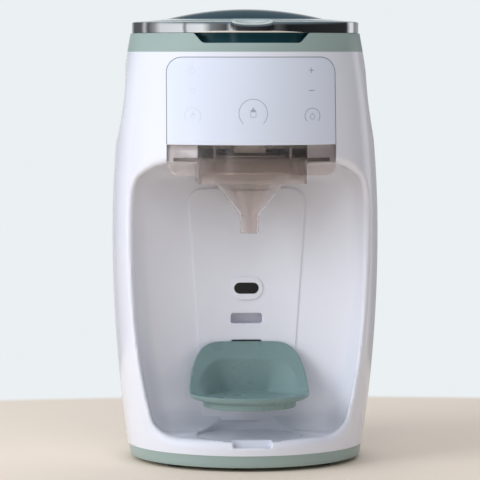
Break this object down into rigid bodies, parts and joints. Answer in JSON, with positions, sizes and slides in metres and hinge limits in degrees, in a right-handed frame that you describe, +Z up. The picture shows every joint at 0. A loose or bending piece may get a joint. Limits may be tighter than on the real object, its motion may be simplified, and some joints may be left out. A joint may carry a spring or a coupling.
{
  "type": "baby formula maker",
  "caption": "Barrel-shaped counter-top baby formula maker with a powder hopper, funnel drawer, bottle stand and lift-off water tank.",
  "frame": {"origin": "under the middle of the machine's box, on the surface it stands on", "axes": "+X to the machine's left as it faces the viewer's right hand in a front view, +Y to the back, +Z up"},
  "size_m": [0.22, 0.265, 0.371],
  "materials": {
    "white_gloss": "smooth moulded gloss",
    "panel_gloss": "high gloss",
    "sage": "fine satin",
    "stand_teal": "fine matte",
    "chrome": "bright plated",
    "steel": "brushed",
    "smoke": "clear smoked gloss",
    "teal_glass": "dark clear gloss",
    "black_gloss": "gloss",
    "black_rubber": "matte",
    "silicone": "satin",
    "natural": "natural moulding",
    "light_guide": "frosted clear",
    "circuit": "coated board"
  },
  "bodies": {
    "housing": {"base_tray": "sage", "feet": "black_rubber", "base_screws": "steel", "front_housing": "white_gloss", "rear_housing": "white_gloss", "tank_dock": "white_gloss", "back_panel": "white_gloss", "sensor_bezel": "white_gloss", "sensor_window": "black_gloss", "sensor_board": "circuit", "control_panel": "panel_gloss", "touch_film": "circuit", "light_ring": "light_guide", "control_board": "circuit", "collar": "sage", "deck_plate": "natural", "powder_chute": "natural", "powder_motor": "steel", "water_nozzle": "black_gloss", "valve_port": "black_gloss", "water_pump": "natural", "pump_motor": "steel", "heater": "steel", "heater_bracket": "steel", "hose_inlet": "silicone", "hose_heater": "silicone", "hose_outlet": "silicone", "power_board": "circuit", "cord_gland": "black_rubber"},
    "hopper": {"powder_hopper": "teal_glass", "powder_guard": "natural", "lid_pin": "steel"},
    "lid": {"lid_rim": "chrome", "lid_cover": "sage", "lid_window": "teal_glass", "lid_seal": "silicone"},
    "dosing": {"dosing_wheel": "natural", "stirrer": "natural"},
    "gear": {"drive_gear": "natural"},
    "pinion": {"motor_pinion": "steel"},
    "drawer": {"funnel_drawer": "smoke", "funnel_cone": "smoke"},
    "stand": {"bottle_stand": "stand_teal"},
    "tank": {"water_tank": "smoke", "valve_cage": "natural", "tank_lid_pin": "steel", "valve_spring": "steel"},
    "tank_cover": {"tank_lid": "sage"},
    "plunger": {"valve_plunger": "silicone"},
    "rotor": {"pump_rotor": "steel"}
  },
  "joints": [
    {"name": "hopper_lift", "type": "slide", "parent": "housing", "child": "hopper", "axis": [0, 0, 1], "range_m": [0, 0.12]},
    {"name": "lid_hinge", "type": "hinge", "parent": "hopper", "child": "lid", "pos_m": [0, 0.04458, 0.3555], "axis": [-1, 0, 0], "range_deg": [0, 75]},
    {"name": "dosing_spin", "type": "hinge", "parent": "hopper", "child": "dosing", "pos_m": [0, -0.03372, 0.278], "axis": [0, 0, 1], "continuous": true},
    {"name": "gear_spin", "type": "hinge", "parent": "housing", "child": "gear", "pos_m": [0, -0.03372, 0.269], "axis": [0, 0, 1], "continuous": true},
    {"name": "pinion_spin", "type": "hinge", "parent": "housing", "child": "pinion", "pos_m": [0, 0.00018, 0.269], "axis": [0, 0, 1], "continuous": true},
    {"name": "drawer_slide", "type": "slide", "parent": "housing", "child": "drawer", "axis": [0, -1, 0], "range_m": [0, 0.1]},
    {"name": "stand_pull", "type": "slide", "parent": "housing", "child": "stand", "axis": [0, -1, 0], "range_m": [0, 0.12]},
    {"name": "tank_lift", "type": "slide", "parent": "housing", "child": "tank", "axis": [0, 0, 1], "range_m": [0, 0.32]},
    {"name": "tank_lid_hinge", "type": "hinge", "parent": "tank", "child": "tank_cover", "pos_m": [0, 0.11854, 0.3225], "axis": [-1, 0, 0], "range_deg": [0, 90]},
    {"name": "valve_slide", "type": "slide", "parent": "tank", "child": "plunger", "axis": [0, 0, 1], "range_m": [0, 0.003], "stiffness_N_per_m": 80, "springref_m": -0.002, "deforming": ["valve_spring"]},
    {"name": "rotor_spin", "type": "hinge", "parent": "housing", "child": "rotor", "pos_m": [-0.034, 0.01199, 0.03], "axis": [0, 0, 1], "continuous": true}
  ],
  "couplings": [
    {"joint": "gear_spin", "follows": "dosing_spin", "ratio": 1},
    {"joint": "pinion_spin", "follows": "dosing_spin", "ratio": -2.8571}
  ]
}
